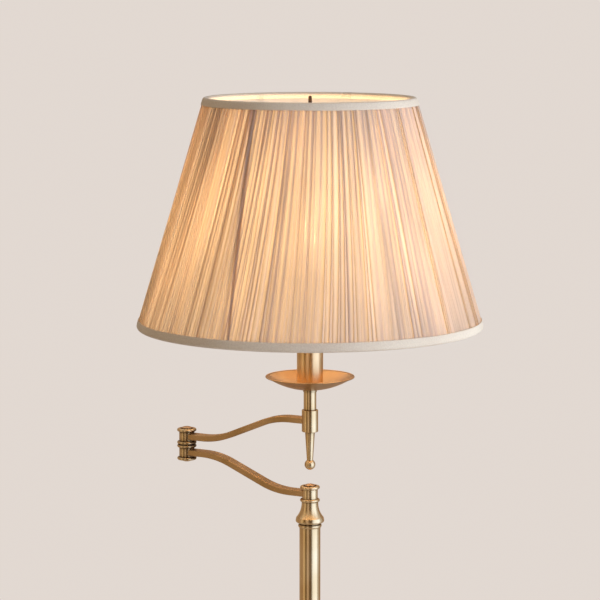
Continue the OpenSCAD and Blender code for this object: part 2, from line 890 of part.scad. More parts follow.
// Slim turned nut that holds the shade down, with a round-ended tip
module shade_finial() {
    base_h = 4;
    nut_z = spider_z + spider_washer_t;
    tip_r = finial_tip_d / 2;
    tip_h = finial_top_z - nut_z;
    color(dark_bronze)
        translate([0, 0, nut_z])
            rotate_extrude()
                polygon(concat(
                    [[stud_d / 2, 0], [6.4, 0], [7, 0.6], [7, base_h - 0.6], [6.4, base_h],
                     [4.2, base_h], [3.6, base_h + 5], [tip_r, base_h + 9]],
                    arc([0, tip_h - tip_r], tip_r, 0, 90, 6),
                    [[0, stud_h - spider_washer_t], [stud_d / 2, stud_h - spider_washer_t]]));
}

// Spider: a washer on the saddle and three arms to every other strut
module shade_spider() {
    reach_z = top_ring_z - spider_drop;
    reach_r = top_ring_r + spider_drop * tan(side_angle);
    washer_mid = spider_z + spider_washer_t / 2;
    start_r = spider_washer_d / 2 - 2;
    tilt = atan2(reach_r - start_r, reach_z - washer_mid);
    color(bright_brass)
        difference() {
            union() {
                translate([0, 0, spider_z]) cylinder(d = spider_washer_d, h = spider_washer_t);
                at_struts(strut_count / spider_arms)
                    translate([start_r, 0, washer_mid])
                        rotate([0, tilt, 0])
                            cylinder(d = spider_arm_d, h = norm([reach_r - start_r, reach_z - washer_mid]));
            }
            translate([0, 0, spider_z - 1]) cylinder(d = spider_hole_d, h = spider_washer_t + 2);
        }
}

// ---- Shade ----

module shade_struts() {
    color(bright_brass)
        at_struts()
            translate([bottom_ring_r, 0, bottom_ring_z])
                rotate([0, -side_angle, 0]) cylinder(d = strut_d, h = side_len, $fn = 24);
}

module shade_bottom_ring() {
    color(bright_brass)
        translate([0, 0, bottom_ring_z])
            rotate_extrude($fn = 128) translate([bottom_ring_r, 0]) circle(d = ring_wire_d, $fn = 24);
}

module shade_top_ring() {
    color(bright_brass)
        translate([0, 0, top_ring_z])
            rotate_extrude($fn = 128) translate([top_ring_r, 0]) circle(d = ring_wire_d, $fn = 24);
}

// Smooth lining inside the frame, slit where the spider's arms pass
module shade_lining() {
    reach_z = top_ring_z - spider_drop;
    color(cream)
        difference() {
            rotate_extrude($fn = 128)
                along_side() translate([-cloth_in - lining_t, 0]) square([lining_t, side_len]);
            at_struts(strut_count / spider_arms)
                translate([0, 0, reach_z - 0.4])
                    rotate([0, 90, 0]) cylinder(d = spider_arm_d + 1, h = shade_bottom_d, $fn = 24);
        }
}

// Pleated cloth outside the frame. Each pleat is a crest between two valleys, and
// its depth wanders round the shade as the hand-gathered cloth does.
module shade_fabric() {
    count = 2 * pleat_count;
    rows = [0, side_len];
    inner_x = cloth_in;
    // Distance of the cloth's outer face from the frame line at point k
    function crest(k) = k % 2 == 1
        ? cloth_in + cloth_t
        : cloth_out - pleat_depth * pleat_wander * (0.5 + 0.5 * sin(360 * k * 13 / count));
    function place(x, y, a) =
        let (r = bottom_ring_r + x * cos(side_angle) - y * sin(side_angle))
        [r * cos(a), r * sin(a), bottom_ring_z + x * sin(side_angle) + y * cos(side_angle)];
    points = [for (y = rows) each concat(
        [for (k = [0:count - 1]) place(crest(k), y, 360 * k / count)],
        [for (k = [0:count - 1]) place(inner_x, y, 360 * k / count)])];
    // Point numbers: outer bottom, inner bottom, outer top, inner top
    loops = [0, count, 2 * count, 3 * count];
    function strip(lo, hi) = [for (k = [0:count - 1])
        let (n = (k + 1) % count)
        each [[lo + k, hi + k, hi + n], [lo + k, hi + n, lo + n]]];
    color(silk)
        polyhedron(points, concat(
            strip(loops[0], loops[2]), strip(loops[2], loops[3]),
            strip(loops[3], loops[1]), strip(loops[1], loops[0])));
}

// Folded tape over one edge: y is measured up the side from the edge's ring
module edge_trim(edge_y, inwards) {
    outer_x = cloth_out + trim_t;
    inner_x = -cloth_in - lining_t - trim_t;
    leg = trim_h - trim_fold;
    color(tape)
        rotate_extrude($fn = 128)
            along_side() translate([0, edge_y]) scale([1, inwards]) difference() {
                translate([inner_x, -trim_fold]) square([outer_x - inner_x, trim_h]);
                translate([inner_x + trim_t, -trim_fold + trim_t])
                    square([outer_x - inner_x - 2 * trim_t, trim_h]);
                translate([inner_x - 1, leg / 2]) square([trim_t + 2, trim_h]);
            }
}

module bottom_trim() {
    edge_trim(0, 1);
}

module top_trim() {
    edge_trim(side_len, -1);
}

base_felt();
base_weight();
base_cover();
base_nipple();
base_washer();
base_nut();
cable_bush();
column_foot();
lower_ferrule();
lower_tube();
column_joint();
upper_tube();
upper_ferrule();
neck();
head_nipple();
head_washers();
head_nut();
head_spool();
head_cap();
lower_arm();
elbow_lower_spool();
elbow_lower_cap();
elbow_nipple();
elbow_washers();
elbow_nuts();
elbow_upper_spool();
elbow_upper_cap();
upper_arm();
arm_collar();
drop_finial();
lamp_nipple();
stem();
drip_pan();
pan_nut();
candle_tube();
holder_base();
holder_skirt();
holder_shell();
holder_contact();
shade_ring();
bulb_cap();
bulb_glass();
bulb_mount();
bulb_filaments();
harp();
harp_stud();
shade_finial();
shade_spider();
shade_struts();
shade_top_ring();
shade_bottom_ring();
shade_lining();
shade_fabric();
top_trim();
bottom_trim();
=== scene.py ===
"""Looks of the swing-arm floor lamp: finishes, cloth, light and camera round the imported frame."""
import math
import random
from itertools import accumulate

import bpy
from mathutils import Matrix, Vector, noise


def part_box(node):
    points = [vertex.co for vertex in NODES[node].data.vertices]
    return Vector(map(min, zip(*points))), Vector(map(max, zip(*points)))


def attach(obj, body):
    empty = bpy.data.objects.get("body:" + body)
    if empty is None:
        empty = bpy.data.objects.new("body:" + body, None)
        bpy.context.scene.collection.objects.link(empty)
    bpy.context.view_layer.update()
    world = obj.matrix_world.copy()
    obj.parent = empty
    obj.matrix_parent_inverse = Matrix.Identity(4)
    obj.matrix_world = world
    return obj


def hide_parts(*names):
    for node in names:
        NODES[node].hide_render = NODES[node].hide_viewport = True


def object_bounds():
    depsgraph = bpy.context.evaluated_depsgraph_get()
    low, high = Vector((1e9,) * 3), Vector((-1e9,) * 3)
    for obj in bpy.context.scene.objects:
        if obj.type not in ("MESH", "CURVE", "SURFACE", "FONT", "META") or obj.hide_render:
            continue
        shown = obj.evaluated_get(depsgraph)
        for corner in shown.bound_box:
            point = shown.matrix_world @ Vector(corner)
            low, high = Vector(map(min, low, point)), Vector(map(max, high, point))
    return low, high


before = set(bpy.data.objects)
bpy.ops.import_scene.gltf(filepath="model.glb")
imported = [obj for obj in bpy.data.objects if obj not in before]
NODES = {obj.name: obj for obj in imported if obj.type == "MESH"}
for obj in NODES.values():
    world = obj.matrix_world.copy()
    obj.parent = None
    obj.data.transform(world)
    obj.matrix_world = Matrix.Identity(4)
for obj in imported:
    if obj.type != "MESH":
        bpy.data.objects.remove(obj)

CAD_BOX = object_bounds()
TAU = 2 * math.pi


# ---- Helpers ----

def add_object(name, data):
    item = bpy.data.objects.new(name, data)
    bpy.context.scene.collection.objects.link(item)
    return item


def smooth_step(value):
    value = min(max(value, 0.0), 1.0)
    return value * value * (3 - 2 * value)


def blend(low, high, share):
    return low + (high - low) * share


def wander(paces, along, up):
    """Smooth noise along and up a surface. paces holds both speeds and the layer of noise."""
    return noise.noise(Vector((paces[0] * along, paces[1] * up, paces[2])))


# ---- Camera: a little above the lamp, turned by 30 degrees from square to the folded arms ----

CAMERA_DISTANCE = 3.0
CAMERA_HEIGHT = 1.6536
CAMERA_AZIMUTH = math.radians(30)
CAMERA_PITCH = math.radians(-7.44)
CAMERA_SIDESTEP = -0.0118
CAMERA_LENS = 154.2
CAMERA_SENSOR = 36
CAMERA_CLIP = (0.1, 60)


def make_camera():
    data = bpy.data.cameras.new("camera")
    data.lens = CAMERA_LENS
    data.sensor_width = CAMERA_SENSOR
    data.clip_start, data.clip_end = CAMERA_CLIP
    camera = add_object("camera", data)
    right = Vector((math.cos(CAMERA_AZIMUTH), math.sin(CAMERA_AZIMUTH), 0))
    back = Vector((math.sin(CAMERA_AZIMUTH), -math.cos(CAMERA_AZIMUTH), 0))
    level = back * CAMERA_DISTANCE + right * CAMERA_SIDESTEP
    camera.location = level + Vector((0, 0, CAMERA_HEIGHT))
    camera.rotation_euler = (math.pi / 2 + CAMERA_PITCH, 0, CAMERA_AZIMUTH)
    bpy.context.scene.camera = camera


make_camera()
bpy.context.scene.view_settings.view_transform = "Standard"


# ---- Node trees ----

class Tree:
    """A node tree with short calls that add and join its nodes."""

    def __init__(self, tree):
        self.tree = tree
        tree.nodes.clear()

    def put(self, socket, value):
        if isinstance(value, bpy.types.NodeSocket):
            self.tree.links.new(value, socket)
        elif isinstance(value, tuple) and len(value) == 3 and socket.type == "RGBA":
            socket.default_value = (*value, 1)
        else:
            socket.default_value = value

    def add(self, kind, inputs=None, **settings):
        node = self.tree.nodes.new("ShaderNode" + kind)
        for key, value in settings.items():
            setattr(node, key, value)
        for key, value in (inputs or {}).items():
            self.put(node.inputs[key], value)
        return node

    def math(self, operation, a, b=0.0, clamp=False):
        return self.add("Math", {0: a, 1: b}, operation=operation, use_clamp=clamp).outputs[0]

    def remap(self, value, low, high, to_low=0.0, to_high=1.0):
        inputs = {"Value": value, "From Min": low, "From Max": high,
                  "To Min": to_low, "To Max": to_high}
        return self.add("MapRange", inputs).outputs[0]

    def mix(self, factor, a, b):
        node = self.add("Mix", data_type="RGBA")
        self.put(node.inputs["Factor"], factor)
        self.put(node.inputs[6], a)
        self.put(node.inputs[7], b)
        return node.outputs[2]

    def scaled(self, vector, scale):
        return self.add("Mapping", {"Vector": vector, "Scale": scale}).outputs[0]

    def noise(self, vector, scale, detail=3.0, roughness=0.5):
        inputs = {"Vector": vector, "Scale": scale, "Detail": detail, "Roughness": roughness}
        return self.add("TexNoise", inputs).outputs[0]

    def ramp(self, factor, stops):
        node = self.add("ValToRGB", {0: factor})
        elements = node.color_ramp.elements
        while len(elements) < len(stops):
            elements.new(0.5)
        for element, (position, colour) in zip(elements, stops):
            element.position = position
            element.color = (*colour, 1)
        return node.outputs[0]

    def bump(self, height, strength, distance):
        inputs = {"Height": height, "Strength": strength, "Distance": distance}
        return self.add("Bump", inputs).outputs[0]

    def place(self):
        """Place on the piece, in metres."""
        return self.add("TexCoord").outputs["Object"]


def new_material(name):
    material = bpy.data.materials.new(name)
    material.use_nodes = True
    return material, Tree(material.node_tree)


def finish_material(tree, surface):
    tree.add("OutputMaterial", {"Surface": surface})


# ---- Metals ----

# Fineness of the tool marks along x, y and z
TURNED_GRAIN = (30, 30, 3000)
DRAWN_GRAIN = (20, 3000, 3000)
CLOUD_SCALE = 38
# Share of the clouds in the wear, beside the tool marks
CLOUD_SHARE = 0.92
CREVICE_SAMPLES = 6


def metal(name, pale, deep, patina_and_shade=None, *, rough, grain=TURNED_GRAIN, turned=0.0,
          crevice=0.006, open_from=(0.4, 0.9)):
    """Worked metal: clouded colour, wear in clouds and fine tool marks, and in the crevices dark patina
    deepened by painted shade.

    Turned metal has its marks round the axis, so they draw reflections out across them."""
    material, tree = new_material(name)
    place = tree.place()
    clouds = tree.noise(place, CLOUD_SCALE, 1, 0.5)
    marks = tree.noise(tree.scaled(place, grain), 1, 1, 0.5)
    colour = tree.mix(tree.remap(clouds, 0.35, 0.65), deep, pale)
    if patina_and_shade:
        # Painted shade: the more enclosed a point is, the nearer its colour comes to the patina colour.
        # This stands for the real patina in the hollows and for the shade that falls there.
        hollow_shade = tree.add("AmbientOcclusion", {"Distance": crevice}, samples=CREVICE_SAMPLES)
        colour = tree.mix(tree.remap(hollow_shade.outputs["AO"], *open_from), patina_and_shade, colour)
    worn = tree.math("ADD", tree.math("MULTIPLY", clouds, CLOUD_SHARE),
                     tree.math("MULTIPLY", marks, 1 - CLOUD_SHARE))
    inputs = {
        "Base Color": colour,
        "Metallic": 1.0,
        "Roughness": tree.remap(worn, 0.3, 0.7, *rough),
    }
    if turned:
        inputs["Anisotropic"] = turned
        inputs["Anisotropic Rotation"] = 0.25
        inputs["Tangent"] = tree.add("Tangent", direction_type="RADIAL", axis="Z").outputs[0]
    finish_material(tree, tree.add("BsdfPrincipled", inputs).outputs[0])
    return material


# Colour of the dark patina in the hollows, deepened to paint in the shade that falls there too
PATINA_AND_SHADE = (0.10, 0.05, 0.018)
SATIN = (0.28, 0.32)
ANTIQUE_BRASS = metal("antique_brass", (0.83, 0.61, 0.35), (0.74, 0.51, 0.26), PATINA_AND_SHADE,
                      rough=SATIN, turned=0.7)
# The spools' wide crevice reach darkens their whole waists between the flanges: patina deepened by
# painted shade
AGED_BRASS = metal("aged_brass", (0.78, 0.57, 0.32), (0.66, 0.45, 0.22), PATINA_AND_SHADE,
                   rough=SATIN, turned=0.7, crevice=0.02, open_from=(0.7, 1.0))
DRAWN_BRASS = metal("drawn_brass", (0.62, 0.39, 0.20), (0.50, 0.30, 0.135),
                    rough=(0.38, 0.44), grain=DRAWN_GRAIN)
SPUN_BRASS = metal("spun_brass", (0.58, 0.36, 0.18), (0.48, 0.27, 0.12), PATINA_AND_SHADE,
                   rough=SATIN, turned=0.6)
# Brass pushed towards copper on the caps: a painted reflection of the shade's warm glow that their tops
# catch
GLOW_TINTED_CAP_BRASS = metal("glow_tinted_cap_brass", (0.80, 0.50, 0.27), (0.62, 0.34, 0.16), PATINA_AND_SHADE,
                  rough=SATIN, turned=0.6)
# Brass made more saturated and orange on the candle tube: a painted reflection of the warm glow from
# the shade and the drip pan
GLOW_TINTED_CANDLE_BRASS = metal("glow_tinted_candle_brass", (0.81, 0.555, 0.29), (0.70, 0.45, 0.21), PATINA_AND_SHADE,
                     rough=SATIN, turned=0.7)
BRIGHT_BRASS = metal("bright_brass", (0.86, 0.68, 0.36), (0.74, 0.54, 0.24), rough=(0.16, 0.26))
DARK_BRONZE = metal("dark_bronze", (0.16, 0.10, 0.06), (0.09, 0.055, 0.035), rough=(0.3, 0.42))
PLATED_STEEL = metal("plated_steel", (0.66, 0.66, 0.64), (0.5, 0.5, 0.5), (0.1, 0.09, 0.08),
                     rough=(0.25, 0.4))


def cast_iron():
    """Rough sand casting, dark and dull."""
    material, tree = new_material("cast_iron")
    place = tree.place()
    sand = tree.noise(place, 900, 3, 0.7)
    colour = tree.mix(tree.noise(place, 30), (0.05, 0.048, 0.046), (0.09, 0.08, 0.07))
    finish_material(tree, tree.add("BsdfPrincipled", {
        "Base Color": colour,
        "Metallic": 0.6,
        "Roughness": tree.remap(sand, 0.3, 0.7, 0.6, 0.85),
        "Normal": tree.bump(sand, 0.5, 0.0008),
    }).outputs[0])
    return material


# ---- Plastic and glass ----

def moulded_plastic():
    material, tree = new_material("moulded_plastic")
    place = tree.place()
    spark = tree.noise(place, 1400, 2)
    finish_material(tree, tree.add("BsdfPrincipled", {
        "Base Color": tree.mix(tree.noise(place, 60), (0.018, 0.017, 0.016), (0.03, 0.028, 0.026)),
        "Roughness": tree.remap(spark, 0.3, 0.7, 0.38, 0.55),
        "Normal": tree.bump(spark, 0.25, 0.0001),
    }).outputs[0])
    return material


def clear_glass():
    """Thin bulb glass, which lets the lamp's own light straight through."""
    material, tree = new_material("clear_glass")
    place = tree.place()
    ripple = tree.noise(place, 60, 2)
    shine = tree.add("BsdfGlossy", {"Color": (1, 0.98, 0.94), "Roughness": 0.04,
                                    "Normal": tree.bump(ripple, 0.08, 0.001)}).outputs[0]
    clear = tree.add("BsdfTransparent", {"Color": (0.98, 0.97, 0.94)}).outputs[0]
    edge = tree.add("Fresnel", {"IOR": 1.45}).outputs[0]
    shadow = tree.add("LightPath").outputs["Is Shadow Ray"]
    keep = tree.math("MULTIPLY", edge, tree.math("SUBTRACT", 1.0, shadow))
    finish_material(tree, tree.add("MixShader", {0: keep, 1: clear, 2: shine}).outputs[0])
    return material


GLOW_COLOUR = (1.0, 0.775, 0.54)
GLOW_STRENGTH = 18.0


def glowing_filament():
    material, tree = new_material("glowing_filament")
    place = tree.place()
    beads = tree.noise(tree.scaled(place, (1, 1, 700)), 1, 1)
    finish_material(tree, tree.add("BsdfPrincipled", {
        "Base Color": tree.mix(beads, (1.0, 0.7, 0.3), (1.0, 0.85, 0.5)),
        "Roughness": 0.4,
        "Emission Color": GLOW_COLOUR,
        "Emission Strength": GLOW_STRENGTH,
    }).outputs[0])
    return material


CAST_IRON = cast_iron()
MOULDED_PLASTIC = moulded_plastic()
CLEAR_GLASS = clear_glass()
FILAMENT = glowing_filament()


# ---- Cloth materials: u runs along the flat cloth and v up it, both in metres ----

THREAD_RUN = 0.03


def cloth(name, pale, deep, lit, *, thread, streak, through, relief, see_through=0.0, fade=0.92,
          spread=0.25, bias=0.0):
    """Woven cloth that light passes through: threads both ways, uneven yarn and dye.

    lit is the colour of the light that comes through it, and fade its deepest share of that.
    through is the share of light scattered through the cloth, see_through the share of gaps."""
    material, tree = new_material(name)
    flat = tree.add("UVMap").outputs[0]
    weave = tree.add("Mapping", {"Vector": flat, "Rotation": (0, 0, bias)}).outputs[0]
    turns = 1 / thread
    across = tree.noise(tree.scaled(weave, (turns, turns * THREAD_RUN, 1)), 1, 2)
    along = tree.noise(tree.scaled(weave, (turns * THREAD_RUN, turns, 1)), 1, 2)
    threads = tree.math("ADD", across, along)
    yarn = tree.noise(tree.scaled(flat, (*streak, 1)), 1, 3, 0.6)
    dye = tree.noise(tree.scaled(flat, (9, 5, 1)), 1, 2)
    tone = tree.remap(tree.math("ADD", yarn, dye), 1 - spread, 1 + spread)
    normal = tree.bump(threads, relief, thread * 0.5)
    front = tree.add("BsdfPrincipled", {
        "Base Color": tree.mix(tone, deep, pale),
        "Roughness": 0.72,
        "Sheen Weight": 0.25,
        "Sheen Roughness": 0.4,
        "Specular IOR Level": 0.25,
        "Normal": normal,
    }).outputs[0]
    glow = tree.add("BsdfTranslucent", {
        "Color": tree.mix(tone, tuple(c * fade for c in lit), lit),
        "Normal": normal,
    }).outputs[0]
    surface = tree.add("MixShader", {0: through, 1: front, 2: glow}).outputs[0]
    if see_through:
        gap = tree.add("BsdfTransparent", {"Color": (1, 1, 1)}).outputs[0]
        surface = tree.add("MixShader", {0: see_through, 1: surface, 2: gap}).outputs[0]
    finish_material(tree, surface)
    return material


PLEATED_SILK = cloth("pleated_silk", (0.77, 0.69, 0.64), (0.64, 0.55, 0.49), (0.96, 0.71, 0.41),
                     thread=0.0005, streak=(420, 3), through=0.52, relief=0.03, see_through=0.07,
                     fade=0.76, spread=0.14)
LINING = cloth("lining", (0.84, 0.86, 0.88), (0.83, 0.85, 0.87), (0.98, 0.96, 0.92),
               thread=0.0004, streak=(60, 8), through=0.6, relief=0.1, see_through=0.15)
TAPE = cloth("tape", (0.97, 0.82, 0.63), (0.81, 0.65, 0.49), (0.80, 0.62, 0.45),
             thread=0.0011, streak=(500, 500), through=0.1, relief=0.8, bias=math.radians(45))


def pressed_felt():
    material, tree = new_material("pressed_felt")
    place = tree.place()
    fibres = tree.noise(place, 1100, 5, 0.75)
    finish_material(tree, tree.add("BsdfPrincipled", {
        "Base Color": tree.mix(tree.noise(place, 300, 4), (0.02, 0.03, 0.022), (0.05, 0.065, 0.05)),
        "Roughness": 0.95,
        "Sheen Weight": 0.4,
        "Specular IOR Level": 0.1,
        "Normal": tree.bump(fibres, 0.6, 0.0008),
    }).outputs[0])
    return material


FELT = pressed_felt()


# ---- Finishes of the rigid pieces ----

FINISHES = [
    (ANTIQUE_BRASS, [
        "base_cover", "column_foot", "lower_ferrule", "lower_tube", "column_joint", "upper_tube",
        "upper_ferrule", "neck", "head_spool", "arm_collar", "drop_finial", "stem"]),
    (AGED_BRASS, ["elbow_lower_spool", "elbow_upper_spool"]),
    (SPUN_BRASS, ["drip_pan"]),
    (DRAWN_BRASS, ["lower_arm", "upper_arm"]),
    (GLOW_TINTED_CANDLE_BRASS, ["candle_tube"]),
    (GLOW_TINTED_CAP_BRASS, ["head_cap", "elbow_lower_cap", "elbow_upper_cap"]),
    (BRIGHT_BRASS, [
        "holder_shell", "holder_contact", "bulb_cap", "harp", "harp_stud", "shade_spider",
        "shade_struts", "shade_top_ring", "shade_bottom_ring"]),
    (DARK_BRONZE, ["shade_finial"]),
    (PLATED_STEEL, [
        "base_nipple", "base_washer", "base_nut", "head_nipple", "head_washers", "head_nut",
        "elbow_nipple", "elbow_washers", "elbow_nuts", "lamp_nipple", "pan_nut"]),
    (CAST_IRON, ["base_weight"]),
    (MOULDED_PLASTIC, ["cable_bush", "holder_base", "holder_skirt", "shade_ring"]),
    (CLEAR_GLASS, ["bulb_glass", "bulb_mount"]),
    (FILAMENT, ["bulb_filaments"]),
]

for finish, names in FINISHES:
    for name in names:
        NODES[name].data.materials.clear()
        NODES[name].data.materials.append(finish)


# ---- Mesh helpers ----

def new_piece(name, vertices, faces, material, uvs=None):
    """A smooth mesh piece. uvs holds a (u, v) in metres for each vertex of each face."""
    mesh = bpy.data.meshes.new(name)
    mesh.from_pydata(vertices, [], faces)
    if uvs:
        layer = mesh.uv_layers.new(name="flat")
        layer.data.foreach_set("uv", [value for uv in uvs for value in uv])
    mesh.polygons.foreach_set("use_smooth", [True] * len(mesh.polygons))
    mesh.materials.append(material)
    mesh.update()
    return add_object(name, mesh)


def grid(rows, columns, closed):
    """Corner numbers of the quads between rows of points, each quad as (row, column) pairs."""
    last = columns if closed else columns - 1
    return [[(j, i), (j, (i + 1) % columns), (j + 1, (i + 1) % columns), (j + 1, i)]
            for j in range(rows - 1) for i in range(last)]


# ---- The shade's frame line, from the two ring wires ----

RING_WIRE = 0.004


def ring_line(node):
    low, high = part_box(node)
    return high.x - RING_WIRE / 2, (low.z + high.z) / 2


BOTTOM_R, BOTTOM_Z = ring_line("shade_bottom_ring")
TOP_R, TOP_Z = ring_line("shade_top_ring")
SLANT = math.hypot(BOTTOM_R - TOP_R, TOP_Z - BOTTOM_Z)
LEAN = math.atan2(BOTTOM_R - TOP_R, TOP_Z - BOTTOM_Z)


def on_shade(angle, up, out):
    """Point at an angle round the shade, a distance up its side and a distance out from the frame."""
    radius = BOTTOM_R + out * math.cos(LEAN) - up * math.sin(LEAN)
    height = BOTTOM_Z + out * math.sin(LEAN) + up * math.cos(LEAN)
    return (radius * math.cos(angle), radius * math.sin(angle), height)


# ---- Pleated cloth ----

PLEAT_SEED = 11
MAJOR_FOLDS = 168
# Minor folds after a major one, and their width beside its width at the bottom and the top edge
MINOR_FOLDS = (0, 1, 1)
MINOR_WIDTH = (0.85, 0.06)
WIDTH_SPREAD = (0.22, 0.28)
MAJOR_HEIGHT = (0.7, 1.0)
MINOR_HEIGHT = (0.5, 0.75)
# Number of major folds that lie the same way before the next ones lie the other way
FIRST_RUN = 4
RUNS = (1, 2, 3, 5, 8)
FOLD_ROWS = 26
# Distance out of the valleys and of the crests, which the bindings press flat along the edges
CLOTH_VALLEY = 0.00208
CLOTH_CREST = 0.0045
EDGE_CREST = 0.0041
EDGE_PINCH = 0.012
# Width of the cloth laid under itself at a fold's edge, in metres at the bottom and the top edge,
# the share by which it eases half way up, and its limit beside the folds on either side
TUCK = (0.0010, 0.0020)
TUCK_EASE = 0.4
TUCK_LIMIT = 0.42
TUCK_SPREAD = (0.4, 1.6)
TUCK_TAPER = (0.8, 1.2)
WIDE_TUCK_CHANCE = 0.15
WIDE_TUCK = 2.0
# How far the folds' edges and crests wander on their way up, and the noise that leads them
EDGE_DRIFT = 0.05
EDGE_PACES = (0.9, 0.8, 7.3)
CREST_DRIFT = 0.03
CREST_PACES = (0.8, 1.2, 1.9)
# Edge between two folds: share of the tuck's half width and height. The cloth comes along the
# crest, turns back under the lip and turns again into the next fold's valley.
FOLD_EDGE = [(0.80, 1.00), (0.97, 0.95), (1.00, 0.85), (0.85, 0.75), (-0.85, 0.42), (-1.00, 0.32),
             (-0.95, 0.20), (-0.75, 0.12)]
VALLEY_HEIGHT = FOLD_EDGE[-1][1]
FACET_PLACES = (0.25, 0.5, 0.75)
FACET_BULGE = 0.12
# Seam over one strut: its angles and half widths at the bottom and the top edge
SEAM_ANGLE = (math.radians(-87.2), math.radians(-90.7))
SEAM_HALF = (0.0016, 0.0030)
SEAM_POINTS = 13
SEAM_STEP = 0.001
SEAM_DEPTH = 0.00025
SEAM_BACK = 0.00185
SEAM_BACK_SIDES = (0.9, 0.0, -0.9)


class Fold:
    """One gathered fold and the edge at its end: widths and tucks at the bottom and the top edge."""

    def __init__(self, rng, minor, facing):
        shares = MINOR_WIDTH if minor else (1, 1)
        self.width = [rng.lognormvariate(0, spread) * share
                      for spread, share in zip(WIDTH_SPREAD, shares)]
        deep = rng.uniform(*TUCK_SPREAD)
        if rng.random() < WIDE_TUCK_CHANCE:
            deep *= WIDE_TUCK
        self.tuck = [deep * rng.uniform(*TUCK_TAPER) * tuck for tuck in TUCK]
        self.height = rng.uniform(*(MINOR_HEIGHT if minor else MAJOR_HEIGHT))
        self.facing = facing


def plan_folds(rng):
    """The folds round the shade. Minor ones close up towards the top, between the major ones."""
    folds = []
    facing, run = 1, FIRST_RUN
    for _ in range(MAJOR_FOLDS):
        run -= 1
        if run <= 0:
            facing, run = -facing, rng.choice(RUNS)
        folds.append(Fold(rng, False, facing))
        for _ in range(rng.choice(MINOR_FOLDS)):
            folds.append(Fold(rng, True, facing))
    for edge in (0, 1):
        total = sum(fold.width[edge] for fold in folds)
        for fold in folds:
            fold.width[edge] *= TAU / total
    return folds


def fold_ends(folds, share):
    """Angles at which the folds begin, and the end of the last one, at a share of the height."""
    widths = [blend(*fold.width, share) for fold in folds]
    sums = list(accumulate(widths))
    drifts = [EDGE_DRIFT * wander(EDGE_PACES, i, share) * width for i, width in enumerate(widths)]
    return [0.0] + [end + drift for end, drift in zip(sums[:-1], drifts)] + [sums[-1]]


def fold_row(folds, up):
    """Angle and distance out of the points along the whole cloth at one height."""
    share = up / SLANT
    radius = blend(BOTTOM_R, TOP_R, share)
    pinch = smooth_step(min(up, SLANT - up) / EDGE_PINCH)
    room = blend(EDGE_CREST, CLOTH_CREST, pinch) - CLOTH_VALLEY
    ease = 1 - TUCK_EASE * math.sin(math.pi * share)
    ends = fold_ends(folds, share)
    turns = [end - start for start, end in zip(ends, ends[1:])]
    row = []
    for i, fold in enumerate(folds):
        before = folds[i - 1]
        tall = fold.height * (1 + CREST_DRIFT * wander(CREST_PACES, i, share))
        leaving = VALLEY_HEIGHT if before.facing > 0 else before.height
        arriving = tall if fold.facing > 0 else VALLEY_HEIGHT
        for place in FACET_PLACES:
            high = blend(leaving, arriving, place) + FACET_BULGE * math.sin(math.pi * place)
            row.append((ends[i] + place * turns[i], CLOTH_VALLEY + min(high, 1.0) * room))
        half = blend(*fold.tuck, share) * ease / 2 / radius
        behind = min(half, TUCK_LIMIT * turns[i])
        ahead = min(half, TUCK_LIMIT * turns[(i + 1) % len(folds)])
        edge = FOLD_EDGE if fold.facing > 0 else [(-reach, high) for reach, high in FOLD_EDGE[::-1]]
        for reach, high in edge:
            angle = ends[i + 1] + reach * (ahead if reach > 0 else behind)
            row.append((angle, CLOTH_VALLEY + tall * high * room))
    return row


def flat_places(rows, heights):
    """Place on the flat cloth of every point of a row, and the cloth's whole length."""
    count = len(rows[0])
    flat = [0.0] * (count + 1)
    for row, up in zip(rows, heights):
        radius = blend(BOTTOM_R, TOP_R, up / SLANT)
        place = 0.0
        closed = row + [(row[0][0] + TAU, row[0][1])]
        for i, (a, b) in enumerate(zip(closed, closed[1:])):
            place += math.hypot((b[0] - a[0]) * radius, b[1] - a[1])
            flat[i + 1] += place / len(rows)
    return flat[:count], flat[count]


def outer_face(row, angle):
    """Distance out of the cloth's outermost layer at an angle."""
    outs = [CLOTH_VALLEY]
    for a, b in zip(row, row[1:]):
        if min(a[0], b[0]) <= angle <= max(a[0], b[0]) and a[0] != b[0]:
            outs.append(blend(a[1], b[1], (angle - a[0]) / (b[0] - a[0])))
    return max(outs)


def seam_row(row, up):
    """Points across the folded seam allowance: close behind the cloth, then back along the frame."""
    share = up / SLANT
    middle = blend(*SEAM_ANGLE, share) % TAU
    half = blend(*SEAM_HALF, share) / blend(BOTTOM_R, TOP_R, share)
    sides = [middle + half * (2 * k / (SEAM_POINTS - 1) - 1) for k in range(SEAM_POINTS)]
    front = [on_shade(angle, up, max(outer_face(row, angle) - SEAM_DEPTH, SEAM_BACK))
             for angle in sides]
    back = [on_shade(middle + half * side, up, SEAM_BACK) for side in SEAM_BACK_SIDES]
    return front + back


def wrapped_uvs(quads, flat, total, heights):
    """Flat coordinates of quads that close round the shade."""
    uvs = []
    for quad in quads:
        wraps = quad[1][1] == 0
        uvs += [(flat[i] + (total if wraps and i == 0 else 0), heights[j]) for j, i in quad]
    return uvs


